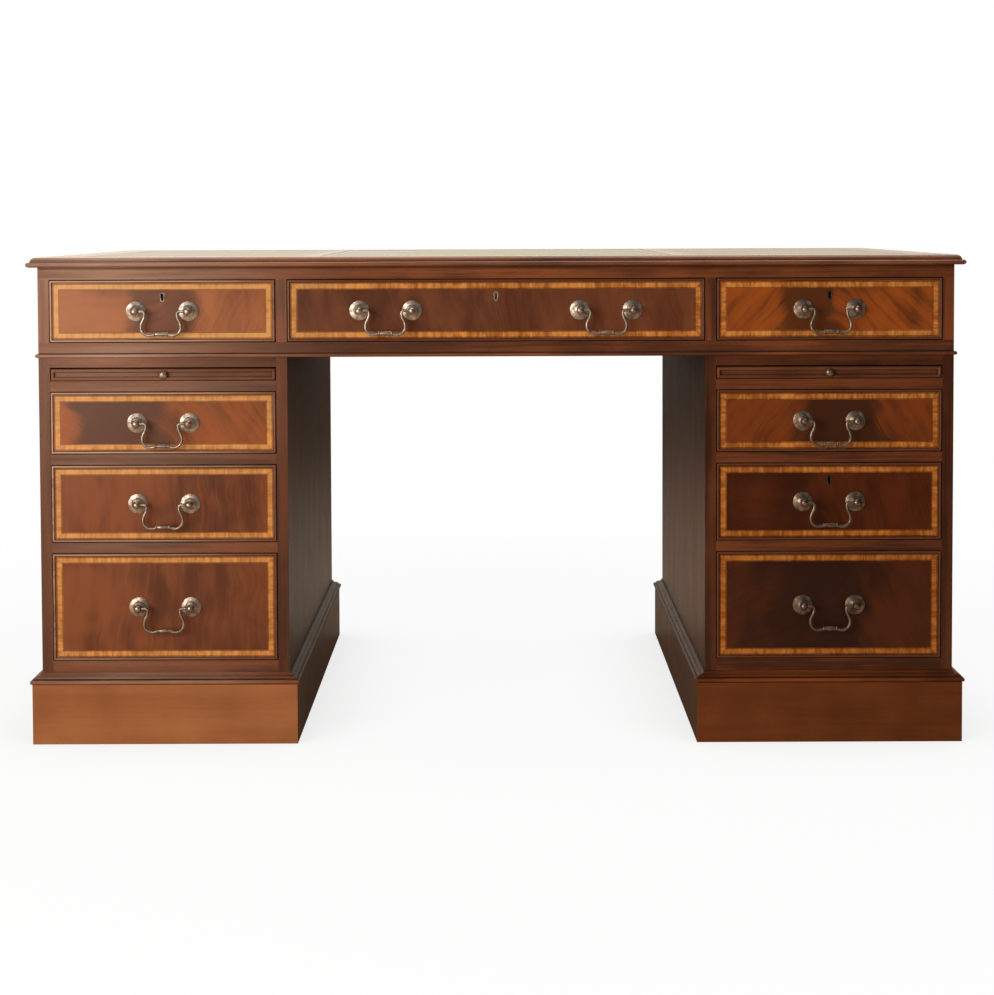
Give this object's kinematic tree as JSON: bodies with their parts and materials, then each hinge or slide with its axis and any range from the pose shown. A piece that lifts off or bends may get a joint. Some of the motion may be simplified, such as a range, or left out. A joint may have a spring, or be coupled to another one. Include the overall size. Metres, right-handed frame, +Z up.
{
  "type": "pedestal desk",
  "caption": "Free-standing pedestal desk with a leather-lined moulded top, frieze drawers, pull-out slides, crossbanded pedestal drawers, brass bail handles and moulded plinths",
  "frame": {"origin": "on the floor under the middle of the top", "axes": "+Z up, the drawer fronts face -Y, +X to the right of someone sitting at the desk"},
  "size_m": [1.5146, 0.9156, 0.7901],
  "materials": {
    "carcase_wood": "satin polish",
    "top_wood": "satin polish",
    "drawer_front_wood": "polished veneer",
    "plinth_wood": "satin polish",
    "drawer_lining": "bare",
    "runner_wood": "bare",
    "leather": "waxed",
    "brass": "antiqued"
  },
  "bodies": {
    "desk": {"desk_top": "top_wood", "top_edging": "carcase_wood", "leather_panels": "leather", "frieze_frame": "carcase_wood", "frieze_runners": "runner_wood", "plinth_mouldings": "carcase_wood", "locating_pegs": "runner_wood", "left_pedestal_carcase": "carcase_wood", "left_pedestal_rails": "carcase_wood", "left_pedestal_runners": "runner_wood", "left_plinth": "plinth_wood", "right_pedestal_carcase": "carcase_wood", "right_pedestal_rails": "carcase_wood", "right_pedestal_runners": "runner_wood", "right_plinth": "plinth_wood"},
    "frieze_centre_drawer": {"frieze_centre_drawer_front": "drawer_front_wood", "frieze_centre_drawer_box": "drawer_lining", "frieze_centre_drawer_fittings": "brass"},
    "frieze_centre_left_bail": {"frieze_centre_left_bail": "brass"},
    "frieze_centre_right_bail": {"frieze_centre_right_bail": "brass"},
    "frieze_centre_lock_bolt": {"frieze_centre_lock_bolt": "brass"},
    "frieze_left_drawer": {"frieze_left_drawer_front": "drawer_front_wood", "frieze_left_drawer_box": "drawer_lining", "frieze_left_drawer_fittings": "brass"},
    "frieze_left_bail": {"frieze_left_bail": "brass"},
    "frieze_left_lock_bolt": {"frieze_left_lock_bolt": "brass"},
    "left_upper_drawer": {"left_upper_drawer_front": "drawer_front_wood", "left_upper_drawer_box": "drawer_lining", "left_upper_drawer_fittings": "brass"},
    "left_upper_bail": {"left_upper_bail": "brass"},
    "left_middle_drawer": {"left_middle_drawer_front": "drawer_front_wood", "left_middle_drawer_box": "drawer_lining", "left_middle_drawer_fittings": "brass"},
    "left_middle_bail": {"left_middle_bail": "brass"},
    "left_lower_drawer": {"left_lower_drawer_front": "drawer_front_wood", "left_lower_drawer_box": "drawer_lining", "left_lower_drawer_fittings": "brass"},
    "left_lower_bail": {"left_lower_bail": "brass"},
    "frieze_right_drawer": {"frieze_right_drawer_front": "drawer_front_wood", "frieze_right_drawer_box": "drawer_lining", "frieze_right_drawer_fittings": "brass"},
    "frieze_right_bail": {"frieze_right_bail": "brass"},
    "frieze_right_lock_bolt": {"frieze_right_lock_bolt": "brass"},
    "right_upper_drawer": {"right_upper_drawer_front": "drawer_front_wood", "right_upper_drawer_box": "drawer_lining", "right_upper_drawer_fittings": "brass"},
    "right_upper_bail": {"right_upper_bail": "brass"},
    "right_middle_drawer": {"right_middle_drawer_front": "drawer_front_wood", "right_middle_drawer_box": "drawer_lining", "right_middle_drawer_fittings": "brass"},
    "right_middle_bail": {"right_middle_bail": "brass"},
    "right_middle_lock_bolt": {"right_middle_lock_bolt": "brass"},
    "right_lower_drawer": {"right_lower_drawer_front": "drawer_front_wood", "right_lower_drawer_box": "drawer_lining", "right_lower_drawer_fittings": "brass"},
    "right_lower_bail": {"right_lower_bail": "brass"},
    "left_slide": {"left_slide_board": "carcase_wood", "left_slide_knob": "brass"},
    "right_slide": {"right_slide_board": "carcase_wood", "right_slide_knob": "brass"}
  },
  "joints": [
    {"name": "frieze_centre_drawer_slide", "type": "slide", "parent": "desk", "child": "frieze_centre_drawer", "axis": [0, -1, 0], "range_m": [0, 0.45]},
    {"name": "frieze_centre_left_bail_swing", "type": "hinge", "parent": "frieze_centre_drawer", "child": "frieze_centre_left_bail", "pos_m": [-0.178, -0.4545, 0.703], "axis": [-1, 0, 0], "range_deg": [-20, 95]},
    {"name": "frieze_centre_right_bail_swing", "type": "hinge", "parent": "frieze_centre_drawer", "child": "frieze_centre_right_bail", "pos_m": [0.178, -0.4545, 0.703], "axis": [-1, 0, 0], "range_deg": [-20, 95]},
    {"name": "frieze_centre_lock_bolt_throw", "type": "slide", "parent": "frieze_centre_drawer", "child": "frieze_centre_lock_bolt", "axis": [0, 0, 1], "range_m": [0, 0.007]},
    {"name": "frieze_left_drawer_slide", "type": "slide", "parent": "desk", "child": "frieze_left_drawer", "axis": [0, -1, 0], "range_m": [0, 0.45]},
    {"name": "frieze_left_bail_swing", "type": "hinge", "parent": "frieze_left_drawer", "child": "frieze_left_bail", "pos_m": [-0.539, -0.4545, 0.703], "axis": [-1, 0, 0], "range_deg": [-20, 95]},
    {"name": "frieze_left_lock_bolt_throw", "type": "slide", "parent": "frieze_left_drawer", "child": "frieze_left_lock_bolt", "axis": [0, 0, 1], "range_m": [0, 0.007]},
    {"name": "left_upper_drawer_slide", "type": "slide", "parent": "desk", "child": "left_upper_drawer", "axis": [0, -1, 0], "range_m": [0, 0.45]},
    {"name": "left_upper_bail_swing", "type": "hinge", "parent": "left_upper_drawer", "child": "left_upper_bail", "pos_m": [-0.539, -0.4545, 0.522], "axis": [-1, 0, 0], "range_deg": [-20, 95]},
    {"name": "left_middle_drawer_slide", "type": "slide", "parent": "desk", "child": "left_middle_drawer", "axis": [0, -1, 0], "range_m": [0, 0.45]},
    {"name": "left_middle_bail_swing", "type": "hinge", "parent": "left_middle_drawer", "child": "left_middle_bail", "pos_m": [-0.539, -0.4545, 0.3905], "axis": [-1, 0, 0], "range_deg": [-20, 95]},
    {"name": "left_lower_drawer_slide", "type": "slide", "parent": "desk", "child": "left_lower_drawer", "axis": [0, -1, 0], "range_m": [0, 0.45]},
    {"name": "left_lower_bail_swing", "type": "hinge", "parent": "left_lower_drawer", "child": "left_lower_bail", "pos_m": [-0.539, -0.4545, 0.222], "axis": [-1, 0, 0], "range_deg": [-20, 95]},
    {"name": "frieze_right_drawer_slide", "type": "slide", "parent": "desk", "child": "frieze_right_drawer", "axis": [0, -1, 0], "range_m": [0, 0.45]},
    {"name": "frieze_right_bail_swing", "type": "hinge", "parent": "frieze_right_drawer", "child": "frieze_right_bail", "pos_m": [0.539, -0.4545, 0.703], "axis": [-1, 0, 0], "range_deg": [-20, 95]},
    {"name": "frieze_right_lock_bolt_throw", "type": "slide", "parent": "frieze_right_drawer", "child": "frieze_right_lock_bolt", "axis": [0, 0, 1], "range_m": [0, 0.007]},
    {"name": "right_upper_drawer_slide", "type": "slide", "parent": "desk", "child": "right_upper_drawer", "axis": [0, -1, 0], "range_m": [0, 0.45]},
    {"name": "right_upper_bail_swing", "type": "hinge", "parent": "right_upper_drawer", "child": "right_upper_bail", "pos_m": [0.539, -0.4545, 0.522], "axis": [-1, 0, 0], "range_deg": [-20, 95]},
    {"name": "right_middle_drawer_slide", "type": "slide", "parent": "desk", "child": "right_middle_drawer", "axis": [0, -1, 0], "range_m": [0, 0.45]},
    {"name": "right_middle_bail_swing", "type": "hinge", "parent": "right_middle_drawer", "child": "right_middle_bail", "pos_m": [0.539, -0.4545, 0.3905], "axis": [-1, 0, 0], "range_deg": [-20, 95]},
    {"name": "right_middle_lock_bolt_throw", "type": "slide", "parent": "right_middle_drawer", "child": "right_middle_lock_bolt", "axis": [0, 0, 1], "range_m": [0, 0.007]},
    {"name": "right_lower_drawer_slide", "type": "slide", "parent": "desk", "child": "right_lower_drawer", "axis": [0, -1, 0], "range_m": [0, 0.45]},
    {"name": "right_lower_bail_swing", "type": "hinge", "parent": "right_lower_drawer", "child": "right_lower_bail", "pos_m": [0.539, -0.4545, 0.222], "axis": [-1, 0, 0], "range_deg": [-20, 95]},
    {"name": "left_slide_pull", "type": "slide", "parent": "desk", "child": "left_slide", "axis": [0, -1, 0], "range_m": [0, 0.28]},
    {"name": "right_slide_pull", "type": "slide", "parent": "desk", "child": "right_slide", "axis": [0, -1, 0], "range_m": [0, 0.28]}
  ]
}
